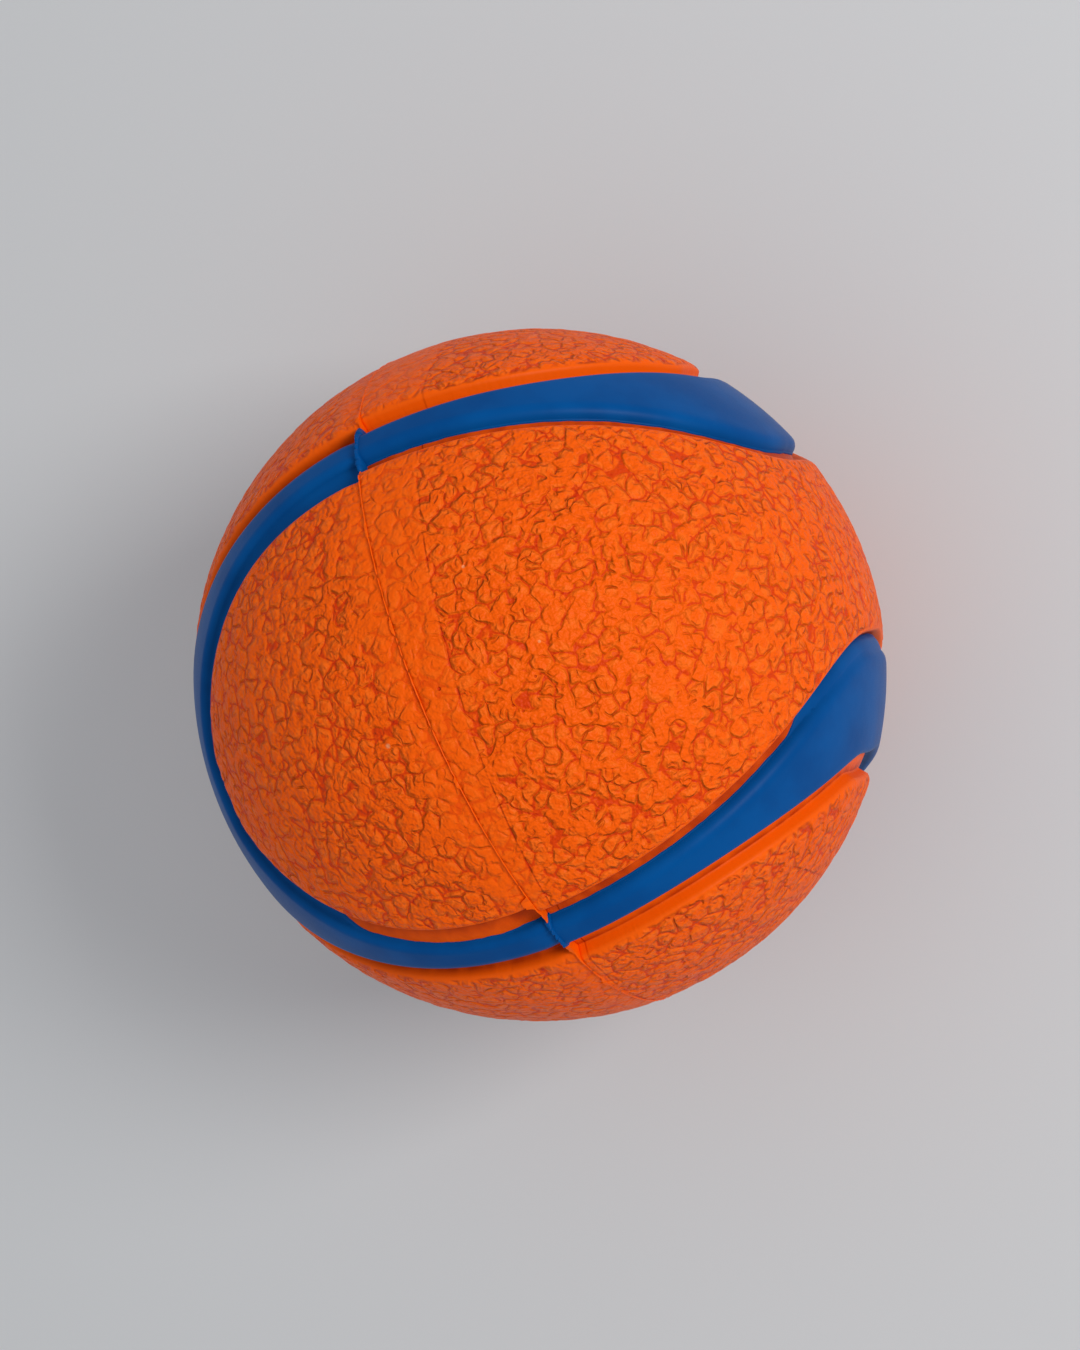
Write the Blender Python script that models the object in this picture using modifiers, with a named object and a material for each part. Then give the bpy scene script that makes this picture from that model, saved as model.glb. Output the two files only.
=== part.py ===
"""Hollow two-colour rubber fetch ball.

Two identical half shells meet on a flat bond face. Each half carries two tapered bands of a
second rubber, laid in channels that follow the curve of a tennis ball's seam. The second half
is the first one turned half a turn, so its bands meet those of the first half end to end.

Metres, +Z up, origin at the ball's centre. X is normal to the bond face, and Z runs through
the middle of a lobe, the wide round end of an orange panel. Latitude is counted from the
plane of the bond face towards +X, and longitude is counted about X, from Z towards Y.
"""

import math

import bmesh
import bpy
from mathutils import Matrix, Vector

MM = 0.001

# Ball
BALL_RADIUS = 32.0 * MM
WALL = 5.5 * MM
BOND_GAP = 0.3 * MM          # between the two halves, and between the ends of their bands
FLASH_HEIGHT = 0.3 * MM      # thin ridge of rubber that the mould leaves on the parting line
FLASH_WIDTH = 0.4 * MM       # on each half

# Path of a band: it crosses the parting line at a lobe's corner and arches over beside the pole
LOBE_SPACING = math.radians(90)      # two lobes of one half are opposite, the other half's lie between
ARCH_LATITUDE = math.radians(63.4)   # highest point of the band's middle
PATH_SQUARENESS = 2.83               # exponent of the superellipse that the path follows

# Section of a band
BAND_WIDTH_AT_PARTING = 3.4 * MM
BAND_WIDTH_AT_ARCH = 9.8 * MM
BAND_WIDENING = 3.7          # how late the band starts to widen, as a power
BAND_THICKNESS = 3.5 * MM
BAND_SHOULDER = 0.8 * MM     # rounding of its two upper edges
BAND_DRAFT = 0.15 * MM       # how far each side wall leans out towards its foot

# Section of the channel
SEAT_CLEARANCE = 0.3 * MM    # all round the sunk part of a band
GUTTER_NECK = 1.2 * MM       # from the band's edge to the foot of the panel's wall, on the pole's side
GUTTER_LOBE = 2.0 * MM       # the same on the lobe's side
GUTTER_DEPTH_AT_BAND = 1.1 * MM
GUTTER_DEPTH_AT_WALL = 1.4 * MM
WALL_RUN = 0.25 * MM         # sideways run of the steep panel wall
LIP_DEPTH = 0.35 * MM        # height of the rounded lip over that wall
LIP_RUN = 0.8 * MM

# Faces
TURN_STEPS = 60
OUTER_RINGS = 15
INNER_RINGS = 6
BAND_STATIONS = 40
OVERRUN = math.radians(5)    # how far band and cutter are drawn past the parting plane
CUTTER_RISE = 1.5 * MM       # how far the cutter stands over the ball

ORANGE = (0.80, 0.115, 0.007)
BLUE = (0.004, 0.080, 0.275)


def new_collection(name):
    collection = bpy.data.collections.new(name)
    bpy.context.scene.collection.children.link(collection)
    return collection


def new_object(name, mesh, collection, parent=None):
    piece = bpy.data.objects.new(name, mesh)
    collection.objects.link(piece)
    piece.parent = parent
    return piece


def rubber(name, colour, roughness):
    material = bpy.data.materials.new(name)
    material.use_nodes = True
    shader = material.node_tree.nodes["Principled BSDF"]
    shader.inputs["Base Color"].default_value = (*colour, 1.0)
    shader.inputs["Roughness"].default_value = roughness
    shader.inputs["Metallic"].default_value = 0.0
    return material


def on_unit_sphere(longitude, latitude):
    ring = math.cos(latitude)
    return Vector((math.sin(latitude), ring * math.sin(longitude), ring * math.cos(longitude)))


def path_points(fine=400):
    """Middle of the band from one crossing of the parting line to the other, closely spaced."""
    half_span = LOBE_SPACING / 2
    power = 2 / PATH_SQUARENESS
    rising = []
    for i in range(fine + 1):
        t = math.pi / 2 * i / fine
        longitude = LOBE_SPACING - half_span * math.cos(t) ** power
        rising.append((longitude, ARCH_LATITUDE * math.sin(t) ** power))
    run_in = (LOBE_SPACING - half_span, -OVERRUN)
    falling = [(2 * LOBE_SPACING - longitude, latitude) for longitude, latitude in rising[-2::-1]]
    run_out = (LOBE_SPACING + half_span, -OVERRUN)
    return [on_unit_sphere(*place) for place in [run_in, *rising, *falling, run_out]]


def stations():
    """Evenly spaced frames along the path: outward direction, direction towards the pole's side,
    and how far the band has widened there, from 0 at the parting line to 1 at the arch."""
    fine = path_points()
    lengths = [0.0]
    for a, b in zip(fine, fine[1:]):
        lengths.append(lengths[-1] + a.angle(b))
    total = lengths[-1]
    frames = []
    seek = 0
    for i in range(BAND_STATIONS + 1):
        wanted = total * i / BAND_STATIONS
        while seek < len(fine) - 2 and lengths[seek + 1] < wanted:
            seek += 1
        share = (wanted - lengths[seek]) / (lengths[seek + 1] - lengths[seek])
        outward = fine[seek].lerp(fine[seek + 1], share).normalized()
        forward = (fine[seek + 1] - fine[seek]).normalized()
        neckward = forward.cross(outward).normalized()
        run = min(max((wanted - OVERRUN) / (total - 2 * OVERRUN), 0.0), 1.0)
        frames.append((outward, neckward, math.sin(math.pi * run) ** BAND_WIDENING))
    return frames


def half_width(widened):
    narrow = BAND_WIDTH_AT_PARTING / 2
    return narrow + (BAND_WIDTH_AT_ARCH / 2 - narrow) * widened


def band_section(widened):
    """Points (sideways, depth) round the band, sideways counted towards the pole's side."""
    edge = half_width(widened)
    foot = edge + BAND_DRAFT
    flat = edge - BAND_SHOULDER
    knee = edge - BAND_SHOULDER * (1 - math.sqrt(0.5))
    knee_depth = BAND_SHOULDER * (1 - math.sqrt(0.5))
    rising = [(-foot, BAND_THICKNESS), (-edge, BAND_SHOULDER), (-knee, knee_depth), (-flat, 0.0)]
    crown = [(flat * share, 0.0) for share in (-0.5, 0.0, 0.5)]
    return rising + crown + [(-side, depth) for side, depth in reversed(rising)]


def channel_side(edge, gutter):
    """One side of the channel from above the ball down to the bottom of the band's seat."""
    foot = edge + gutter
    lip = foot + WALL_RUN
    flush = lip + LIP_RUN
    seat = edge + BAND_DRAFT + SEAT_CLEARANCE
    return [
        (flush + LIP_RUN / 2, -CUTTER_RISE),
        (flush, 0.0),
        (lip + LIP_RUN * 0.45, LIP_DEPTH * 0.25),
        (lip, LIP_DEPTH),
        (foot, GUTTER_DEPTH_AT_WALL),
        (seat, GUTTER_DEPTH_AT_BAND),
        (seat, BAND_THICKNESS + SEAT_CLEARANCE),
    ]


def channel_section(widened):
    edge = half_width(widened)
    lobe_side = [(-side, depth) for side, depth in channel_side(edge, GUTTER_LOBE)]
    return lobe_side + channel_side(edge, GUTTER_NECK)[::-1]


def loft(name, section):
    """Closed solid through one section at every station of the path, bent round the ball."""
    bm = bmesh.new()
    rings = []
    for outward, neckward, widened in stations():
        ring = []
        for side, depth in section(widened):
            turn = side / BALL_RADIUS
            direction = outward * math.cos(turn) + neckward * math.sin(turn)
            ring.append(bm.verts.new(direction * (BALL_RADIUS - depth)))
        rings.append(ring)
    loops = [[bm.edges.new((a, b)) for a, b in zip(ring, ring[1:] + ring[:1])] for ring in rings]
    for before, after in zip(loops, loops[1:]):
        bmesh.ops.bridge_loops(bm, edges=before + after)
    for loop in (loops[0], loops[-1]):
        bmesh.ops.edgeloop_fill(bm, edges=loop)
    # The four corners of a bent face don't lie in one plane, which would spoil the cut
    bmesh.ops.triangulate(bm, faces=bm.faces[:])
    bmesh.ops.recalc_face_normals(bm, faces=bm.faces)
    mesh = bpy.data.meshes.new(name)
    bm.to_mesh(mesh)
    bm.free()
    return mesh


def band_mesh():
    """A band, cut off flat at both ends just short of the parting plane."""
    mesh = loft("band", band_section)
    bm = bmesh.new()
    bm.from_mesh(mesh)
    bmesh.ops.bisect_plane(bm, geom=bm.verts[:] + bm.edges[:] + bm.faces[:],
                           plane_co=(BOND_GAP / 2, 0, 0), plane_no=(1, 0, 0), clear_inner=True)
    ends = [edge for edge in bm.edges if edge.is_boundary]
    bmesh.ops.edgeloop_fill(bm, edges=ends)
    bmesh.ops.recalc_face_normals(bm, faces=bm.faces)
    bm.to_mesh(mesh)
    bm.free()
    mesh.shade_smooth()
    mesh.set_sharp_from_angle(angle=math.radians(40))
    return mesh


def arc(radius, low, rings):
    """Profile of a sphere from the pole down to the height low, at even angles."""
    end = math.acos(low / radius)
    return [(radius * math.sin(end * i / rings), radius * math.cos(end * i / rings))
            for i in range(rings + 1)]


def shell_profile():
    """Half section (distance from the axis, height over the parting plane) of a half shell,
    down the outside, over the flash, across the bond face and up the inside."""
    face = BOND_GAP / 2
    flash = face + FLASH_WIDTH
    inner_radius = BALL_RADIUS - WALL
    outside = arc(BALL_RADIUS, flash, OUTER_RINGS)
    ridge = [(BALL_RADIUS + FLASH_HEIGHT, face + FLASH_WIDTH / 4), (BALL_RADIUS + FLASH_HEIGHT, face)]
    inside = arc(inner_radius, face, INNER_RINGS)[::-1]
    return outside + ridge + inside


def shell_mesh():
    """The profile as a line of edges, which the Screw modifier turns about local Z."""
    bm = bmesh.new()
    line = [bm.verts.new((across, 0, height)) for across, height in shell_profile()]
    for a, b in zip(line, line[1:]):
        bm.edges.new((a, b))
    mesh = bpy.data.meshes.new("half_shell")
    bm.to_mesh(mesh)
    bm.free()
    return mesh


def add_shell(name, mesh, collection, parent, cutters):
    shell = new_object(name, mesh, collection, parent)
    # Half a step round the pole keeps the shell's edges off the bands' plane of symmetry
    half_step = Matrix.Rotation(math.pi / TURN_STEPS, 4, "X")
    shell.matrix_local = half_step @ Matrix.Rotation(math.pi / 2, 4, "Y")
    turn = shell.modifiers.new("turn", "SCREW")
    turn.axis = "Z"
    turn.steps = TURN_STEPS
    turn.render_steps = TURN_STEPS
    turn.use_merge_vertices = True
    turn.merge_threshold = 0.00001
    turn.use_smooth_shade = True
    for cutter in cutters:
        cut = shell.modifiers.new("channel", "BOOLEAN")
        cut.operation = "DIFFERENCE"
        cut.object = cutter
    return shell


def add_cutter(name, mesh, collection, parent, placing):
    cutter = new_object(name, mesh, collection, parent)
    cutter.matrix_local = placing
    cutter.display_type = "WIRE"
    cutter.hide_render = True
    return cutter


def build():
    for leftover in list(bpy.data.objects):
        bpy.data.objects.remove(leftover, do_unlink=True)
    ball = new_collection("rubber_ball")
    tools = new_collection("cutters")
    orange = rubber("orange_rubber", ORANGE, 0.5)
    blue = rubber("blue_rubber", BLUE, 0.42)

    profile = shell_mesh()
    profile.materials.append(orange)
    band = band_mesh()
    band.materials.append(blue)
    channel = loft("channel", channel_section)

    # The second half is the first turned half round the line midway between Y and Z
    half_turn = Matrix.Rotation(math.pi, 4, Vector((0, 1, 1)))
    # The second band of a half is the first turned half round the pole
    band_turn = Matrix.Rotation(math.pi, 4, "X")
    for letter, place in (("a", Matrix.Identity(4)), ("b", half_turn)):
        frame = new_object(f"half_{letter}_frame", None, ball)
        frame.matrix_local = place
        cutters = []
        for number, placing in ((1, Matrix.Identity(4)), (2, band_turn)):
            cutters.append(add_cutter(f"channel_{letter}{number}", channel, tools, frame, placing))
            strip = new_object(f"band_{letter}{number}", band, ball, frame)
            strip.matrix_local = placing
        add_shell(f"half_shell_{letter}", profile, ball, frame, cutters)


build()
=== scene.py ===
# %% [markdown]
# # A two-colour rubber fetch ball
#
# The ball is hollow and moulded in two halves. Each half is an orange shell with two channels,
# and a blue band lies in each channel. Together the four bands draw the curve of a tennis
# ball's seam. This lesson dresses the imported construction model: the six pieces stay where
# they are, each gets the surface that the mould gives the real one, and the thin flash that is
# squeezed out on the parting line is added.

# %% Load the frame
import math
from collections import namedtuple

import bmesh
import bpy
from mathutils import Matrix, Vector
from mathutils import noise as ready_noise
from mathutils.kdtree import KDTree


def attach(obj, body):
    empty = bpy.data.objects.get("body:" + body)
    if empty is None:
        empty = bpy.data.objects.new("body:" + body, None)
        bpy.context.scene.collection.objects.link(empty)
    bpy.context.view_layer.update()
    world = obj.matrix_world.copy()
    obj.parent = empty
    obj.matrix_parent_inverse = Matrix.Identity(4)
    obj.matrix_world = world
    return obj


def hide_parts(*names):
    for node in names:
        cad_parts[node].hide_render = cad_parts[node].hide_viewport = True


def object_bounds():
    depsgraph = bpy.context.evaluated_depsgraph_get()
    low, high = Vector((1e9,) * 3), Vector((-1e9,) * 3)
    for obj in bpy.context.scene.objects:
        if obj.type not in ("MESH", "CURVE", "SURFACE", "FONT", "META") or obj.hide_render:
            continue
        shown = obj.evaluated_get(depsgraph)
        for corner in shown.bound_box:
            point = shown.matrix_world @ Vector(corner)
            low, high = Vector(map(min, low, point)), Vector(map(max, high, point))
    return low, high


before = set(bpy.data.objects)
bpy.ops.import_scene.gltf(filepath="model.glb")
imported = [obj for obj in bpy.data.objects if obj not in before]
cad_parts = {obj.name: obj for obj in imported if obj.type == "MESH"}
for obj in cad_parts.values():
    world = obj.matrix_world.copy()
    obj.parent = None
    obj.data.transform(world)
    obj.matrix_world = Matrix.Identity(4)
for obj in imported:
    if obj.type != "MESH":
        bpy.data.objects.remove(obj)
cad_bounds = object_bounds()
MM = 0.001
ball_radius = (cad_bounds[1][0] - cad_bounds[0][0]) / 2
print("ball radius", round(ball_radius / MM, 2), "mm")

# %% [markdown]
# ## Camera and studio
#
# The photograph looks down on the ball from less than eight radii away, so the perspective
# counts: the far side of the ball is out of sight well before its rim. The camera is given as
# three directions in the ball's own axes, which is easier to check than three angles.

# %% Aim the camera
VIEW_DISTANCE = 7.8 * ball_radius
VIEW_LENS = 71.5
to_camera = Vector((0.3086, -0.0714, 0.9485)).normalized()
image_up = Vector((0.3824, 0.9224, -0.0549)).normalized()
image_right = image_up.cross(to_camera).normalized()

lens = bpy.data.cameras.new("camera")
lens.lens = VIEW_LENS
lens.clip_start = 0.01
lens.clip_end = 20
camera = bpy.data.objects.new("camera", lens)
bpy.context.scene.collection.objects.link(camera)
upright = to_camera.cross(image_right).normalized()
turn = Matrix((image_right, upright, to_camera)).transposed().to_4x4()
camera.matrix_world = Matrix.Translation(to_camera * VIEW_DISTANCE) @ turn
bpy.context.scene.camera = camera

# %% [markdown]
# The studio is a pale floor, one large soft lamp and a pale sky. The lamp stands to the right
# of the picture and a little above it, where the photograph's light comes from. The sky gives
# about as much light as the lamp, so the ball's left side falls off gently, yet every groove
# still gets a dark side and a bright side.

# %% Floor and lamps
KEY_DISTANCE = 0.55
KEY_SIZE = 0.20
KEY_POWER = 1.56
KEY_COLOUR = (1.0, 0.99, 0.97)
KEY_TOWARDS_CAMERA = 0.86
KEY_TOWARDS_RIGHT = 0.47
KEY_UPWARDS = 0.17
SKY = (0.80, 0.82, 0.85)
SKY_STRENGTH = 0.63
FLOOR_COLOUR = (0.66, 0.67, 0.68)
FLOOR_ROUGHNESS = 0.85
FLOOR_HALF_SIDE = 3


def area_lamp(name, direction, distance, size, power, colour):
    """A square lamp that faces the ball's centre."""
    data = bpy.data.lights.new(name, "AREA")
    data.size = size
    data.energy = power
    data.color = colour
    lamp = bpy.data.objects.new(name, data)
    bpy.context.scene.collection.objects.link(lamp)
    lamp.location = direction.normalized() * distance
    lamp.rotation_euler = direction.to_track_quat("Z", "Y").to_euler()
    return lamp


key_direction = KEY_TOWARDS_CAMERA * to_camera + KEY_TOWARDS_RIGHT * image_right
key_direction += KEY_UPWARDS * image_up
area_lamp("key", key_direction, KEY_DISTANCE, KEY_SIZE, KEY_POWER, KEY_COLOUR)

world = bpy.data.worlds.new("sky")
world.use_nodes = True
sky = world.node_tree.nodes["Background"]
sky.inputs["Color"].default_value = (*SKY, 1)
sky.inputs["Strength"].default_value = SKY_STRENGTH
bpy.context.scene.world = world
bpy.context.scene.view_settings.view_transform = "Standard"

bm = bmesh.new()
bmesh.ops.create_grid(bm, x_segments=1, y_segments=1, size=FLOOR_HALF_SIDE)
bmesh.ops.translate(bm, vec=(0, 0, -ball_radius), verts=bm.verts)
mesh = bpy.data.meshes.new("floor")
bm.to_mesh(mesh)
bm.free()
floor = bpy.data.objects.new("floor", mesh)
bpy.context.scene.collection.objects.link(floor)
paint = bpy.data.materials.new("floor_paint")
paint.use_nodes = True
floor_shader = paint.node_tree.nodes["Principled BSDF"]
floor_shader.inputs["Base Color"].default_value = (*FLOOR_COLOUR, 1)
floor_shader.inputs["Roughness"].default_value = FLOOR_ROUGHNESS
mesh.materials.append(paint)

# %% [markdown]
# ## Node maths as Python
#
# The relief of the rubber is one formula that is used twice: Geometry Nodes moves the mesh with
# its broad part, and the material's Bump node draws its fine part. Both kinds of node tree have
# the same Math, Noise and Voronoi nodes, so one small class can write the formula into either.
# An expression on two values adds a Math node, and `node` adds any other kind.


# %% A socket that does arithmetic
class Value:
    """A socket of a node tree. Arithmetic on it adds Math nodes to the tree."""

    def __init__(self, tree, socket):
        self.tree = tree
        self.socket = socket

    def node(self, kind, settings=None, inputs=None, output=0):
        """Adds a node: its settings first, then its sockets' values or links."""
        made = self.tree.nodes.new(kind)
        for name, setting in (settings or {}).items():
            setattr(made, name, setting)
        for name, given in (inputs or {}).items():
            if isinstance(given, Value):
                self.tree.links.new(given.socket, made.inputs[name])
            else:
                made.inputs[name].default_value = given
        return Value(self.tree, made.outputs[output])

    def math(self, operation, *others):
        inputs = {i: given for i, given in enumerate((self, *others))}
        return self.node("ShaderNodeMath", {"operation": operation}, inputs)

    def vector(self, operation, other, output=0):
        settings = {"operation": operation}
        key = "Scale" if operation == "SCALE" else 1
        return self.node("ShaderNodeVectorMath", settings, {0: self, key: other}, output)

    def __add__(self, other):
        return self.math("ADD", other)

    def __sub__(self, other):
        return self.math("SUBTRACT", other)

    def __mul__(self, other):
        return self.math("MULTIPLY", other)

    def __truediv__(self, other):
        return self.math("DIVIDE", other)

    def __rsub__(self, other):
        return (self * -1) + other

    __radd__ = __add__
    __rmul__ = __mul__

    def rise(self, low, high, to_low=0.0, to_high=1.0):
        """Smooth step: to_low up to low, to_high from high on."""
        inputs = {"Value": self, "From Min": low, "From Max": high}
        inputs.update({"To Min": to_low, "To Max": to_high})
        return self.node("ShaderNodeMapRange", {"interpolation_type": "SMOOTHSTEP"}, inputs)

    def noise(self, period, seed, detail=0.0, output=0):
        """Noise at this point, with blobs as large as the period; output 1 is a vector."""
        place = self.vector("ADD", (seed, seed, seed))
        inputs = {"Vector": place, "Scale": 1 / period, "Detail": detail}
        return self.node("ShaderNodeTexNoise", {}, inputs, output)

    def pushed(self, period, seed, reach):
        """How far noise pushes this point, as a vector."""
        push = self.noise(period, seed, output=1).vector("SUBTRACT", (0.5, 0.5, 0.5))
        return push.vector("SCALE", 2 * reach)

    def cells(self, period, feature):
        """Voronoi distance in cell sizes: F1 to the nearest cell's middle, F2 to the second."""
        inputs = {"Vector": self, "Scale": 1 / period}
        return self.node("ShaderNodeTexVoronoi", {"feature": feature}, inputs, "Distance")


# %% [markdown]
# ## The relief
#
# The panels look like leather: puffed pebbles with round corners between winding, open-ended
# grooves. A Voronoi texture gives the cells. Along a wall the nearest and the second nearest
# middle are equally far, so the ratio of their difference to their sum is 0 there. That ratio
# grows more slowly at a corner, where both are far, which rounds the corners off. Noise pushes
# the point about first, so the walls wind, and a second noise fades a part of them out. Short
# folds cross the pebbles: they are the lines on which another noise passes its middle value.
# The formula reads the direction from the ball's centre, not the place, so that it gives the
# same height before and after the mesh has moved.

# %% One formula for mesh and material
PEBBLE = 1.6                  # millimetres, as all lengths in this formula
WIND_PERIOD = 1.3
WIND = 0.38                   # how far the walls wander
QUIVER_PERIOD = 0.6
QUIVER = 0.06                 # and their finer waver
GROOVE = (0.22, 0.33)         # narrowest and widest groove, as a ratio of distances
GROOVE_PERIOD = 2.0
KEPT_PERIOD = 1.3             # how quickly grooves fade out and come back
KEPT_GROOVES = (0.37, 0.50)   # noise below the first: no groove, above the second: all of it
KEPT_VALLEYS = (0.31, 0.50)
FADED_VALLEY = 0.25
RIM = (0.9, 1.9)              # inner and outer edge of a rim, in widths of its groove
VALLEY = 0.6                  # a groove's width for the broad valleys that the mesh carries
VALLEY_DEPTH = 0.06
FOLD_PERIOD = 1.2
FOLD = 0.10                   # half width of a fold, as a difference from the noise's middle
FOLD_PATCHES = 1.1
KEPT_FOLDS = (0.45, 0.58)
SWELL_PERIOD = 5.0
SWELL = 0.08                  # broad unevenness of the rubber
NOISE_RANGE = (0.35, 0.65)    # most of what a noise gives lies between these
CREASE_AT_MIDDLE = 3.4        # where a witness line of the mould runs, measured along X
CREASE_SLOPE = 0.105
CALM_EDGE_AT_CREASE = (-0.3, 0.1)
CALM_EDGE_PAST_PARTING = (-3.6, -1.6)
CALM_SHARE = 0.5


def sphere_point(place):
    """The point of the ball's surface over a place, in millimetres."""
    unit = place.node("ShaderNodeVectorMath", {"operation": "NORMALIZE"}, {0: place})
    return unit.vector("SCALE", ball_radius / MM)


def pebbles(point):
    """Grooves, folds, broad valleys and the grooves' rims, each from 0 to 1."""
    quiver = point.pushed(QUIVER_PERIOD, seed=7, reach=QUIVER)
    wind = point.pushed(WIND_PERIOD, seed=0, reach=WIND)
    bent = point.vector("ADD", wind).vector("ADD", quiver)
    nearest = bent.cells(PEBBLE, "F1")
    second = bent.cells(PEBBLE, "F2")
    apart = (second - nearest) / (second + nearest)
    kept = point.noise(KEPT_PERIOD, seed=23)
    width = point.noise(GROOVE_PERIOD, seed=43).rise(*NOISE_RANGE, *GROOVE)
    groove = apart.rise(0, width, 1, 0) * kept.rise(*KEPT_GROOVES)
    with_rim = apart.rise(width * RIM[0], width * RIM[1], 1, 0) * kept.rise(*KEPT_GROOVES)
    rim = with_rim - groove
    valley = apart.rise(0, VALLEY, 1, 0) * kept.rise(*KEPT_VALLEYS, FADED_VALLEY, 1)
    wave = point.vector("ADD", quiver).noise(FOLD_PERIOD, seed=91, detail=0.5)
    from_middle = (wave - 0.5).math("ABSOLUTE")
    fold = from_middle.rise(0, FOLD, 1, 0) * point.noise(FOLD_PATCHES, seed=77).rise(*KEPT_FOLDS)
    return groove, fold, valley, rim


def past_crease(point):
    """Distance from the parting plane, and distance past the witness line."""
    parts = point.node("ShaderNodeSeparateXYZ", {}, {0: point}).socket.node.outputs
    x = Value(point.tree, parts[0])
    y = Value(point.tree, parts[1])
    return x, x - y * CREASE_SLOPE - CREASE_AT_MIDDLE


def calm(point):
    """Share of the relief that is left: less of it from the crease to beyond the parting line."""
    x, past = past_crease(point)
    beside = past.rise(*CALM_EDGE_AT_CREASE, 1, 0) * x.rise(*CALM_EDGE_PAST_PARTING)
    return 1 - beside * (1 - CALM_SHARE)


# %% [markdown]
# ## The curve of the bands
#
# Everything on the ball follows one curve. In longitude about X and latitude from the parting
# plane it is a superellipse: it leaves the parting line squarely, turns a tight corner and
# arches over beside the pole. The stations along it are frames, each with a direction outward
# and one towards the pole's side, so a flat section can be laid on the ball at any of them.

# %% Stations along the curve
LOBE_SPACING = math.radians(90)
ARCH_LATITUDE = math.radians(63.4)
PATH_SQUARENESS = 2.83
BAND_WIDENING = 3.7       # how late the band starts to widen, as a power
STATIONS = 300
Station = namedtuple("Station", "outward poleward widened run")


def on_unit_sphere(longitude, latitude):
    ring = math.cos(latitude)
    return Vector((math.sin(latitude), ring * math.sin(longitude), ring * math.cos(longitude)))


def path_points(fine=1500):
    half_span = LOBE_SPACING / 2
    power = 2 / PATH_SQUARENESS
    rising = []
    for i in range(fine + 1):
        t = math.pi / 2 * i / fine
        longitude = LOBE_SPACING - half_span * math.cos(t) ** power
        rising.append(on_unit_sphere(longitude, ARCH_LATITUDE * math.sin(t) ** power))
    falling = [Vector((p.x, p.y, -p.z)) for p in rising[-2::-1]]
    return rising + falling


def make_stations():
    """Evenly spaced stations along the curve, and its length."""
    fine = path_points()
    lengths = [0.0]
    for a, b in zip(fine, fine[1:]):
        lengths.append(lengths[-1] + (b - a).length)
    made = []
    seek = 0
    for i in range(STATIONS + 1):
        run = i / STATIONS
        while seek < len(fine) - 2 and lengths[seek + 1] < lengths[-1] * run:
            seek += 1
        share = (lengths[-1] * run - lengths[seek]) / (lengths[seek + 1] - lengths[seek])
        outward = fine[seek].lerp(fine[seek + 1], share).normalized()
        forward = (fine[seek + 1] - fine[seek]).normalized()
        poleward = forward.cross(outward).normalized()
        made.append(Station(outward, poleward, math.sin(math.pi * run) ** BAND_WIDENING, run))
    return made, lengths[-1] * ball_radius


stations, path_length = make_stations()
print(len(stations), "stations along", round(path_length / MM, 1), "mm of curve")

# %% [markdown]
# ## Where the real ball leaves its mould's shape
#
# Two rubbers that are pressed together never part cleanly. In places the blue has crept over
# the gutter's floor or heaped up there, along the top a band is wider than its mould, and in one
# place the orange floor is swollen, and the wall beside it gets painted shade. Each such stretch
# names its band and side, where it starts and ends in millimetres from the curve's end, how soft
# those ends are, and how much there is of it. Noise makes the rest of the band's foot ragged.

# %% Creeping rubber
NECK = 1                  # the pole's side of a band
LOBE = -1                 # the side of the lobe that it goes round
Stretch = namedtuple("Stretch", "band side first last soft amount")
CREPT_BLUE = [
    Stretch("a2", NECK, 28.0, 62.0, 2.0, 1.2),
    Stretch("b1", LOBE, 22.0, 100.0, 4.0, 1.7),
    Stretch("a1", LOBE, 9.0, 13.0, 0.8, 0.5),
]
HEAPED_BLUE = [Stretch("a2", NECK, 31.0, 60.0, 3.5, 0.55)]
WIDER_BLUE = [Stretch("a1", LOBE, 44.0, 78.0, 8.0, 0.55)]
SWOLLEN_FLOOR = [Stretch("b1", LOBE, 3.0, 21.0, 1.5, 0.35)]
# painted shade on a gutter wall that faces away from the lamp
SHADED_WALL = [Stretch("b1", LOBE, -5.0, 21.0, 3.0, 0.8)]    # here the amount is a share
RAGGED = 0.12 * MM
RAGGED_PERIOD = 1.1 * MM


def smooth_share(value, low, high):
    share = min(max((value - low) / (high - low), 0.0), 1.0)
    return share * share * (3 - 2 * share)


def stretch_here(stretches, band, side, run):
    """How much the stretches of a list give at a place of the curve."""
    left = (1 - run) * path_length / MM
    total = 0.0
    for each in stretches:
        if (each.band, each.side) == (band, side):
            begun = smooth_share(left, each.first - each.soft, each.first + each.soft)
            ended = smooth_share(left, each.last - each.soft, each.last + each.soft)
            total += each.amount * begun * (1 - ended)
    return total


def ragged(run, seed):
    """Noise from about 0 to 1 along the curve."""
    place = run * path_length / RAGGED_PERIOD
    roughness, lacunarity, octaves = 1.0, 2.0, 2
    noise = ready_noise.fractal((place, seed * 7.3, 0.5), roughness, lacunarity, octaves)
    return 0.5 + 0.5 * noise


# %% [markdown]
# ## Sections of band and channel
#
# The sizes are those of the construction model. A band is crowned with rounded shoulders and
# stands in a gutter. The panel's edge is a soft lip over a steep wall, and the gutter's floor
# slopes down from the band to the foot of that wall. Each point of an outline is a distance from
# the curve and a depth below the ball's surface. A band's outline starts at the foot of its wall,
# out of sight below the floor, runs out to the edge of the crept rubber and comes back over it,
# thicker towards the band.

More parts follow.
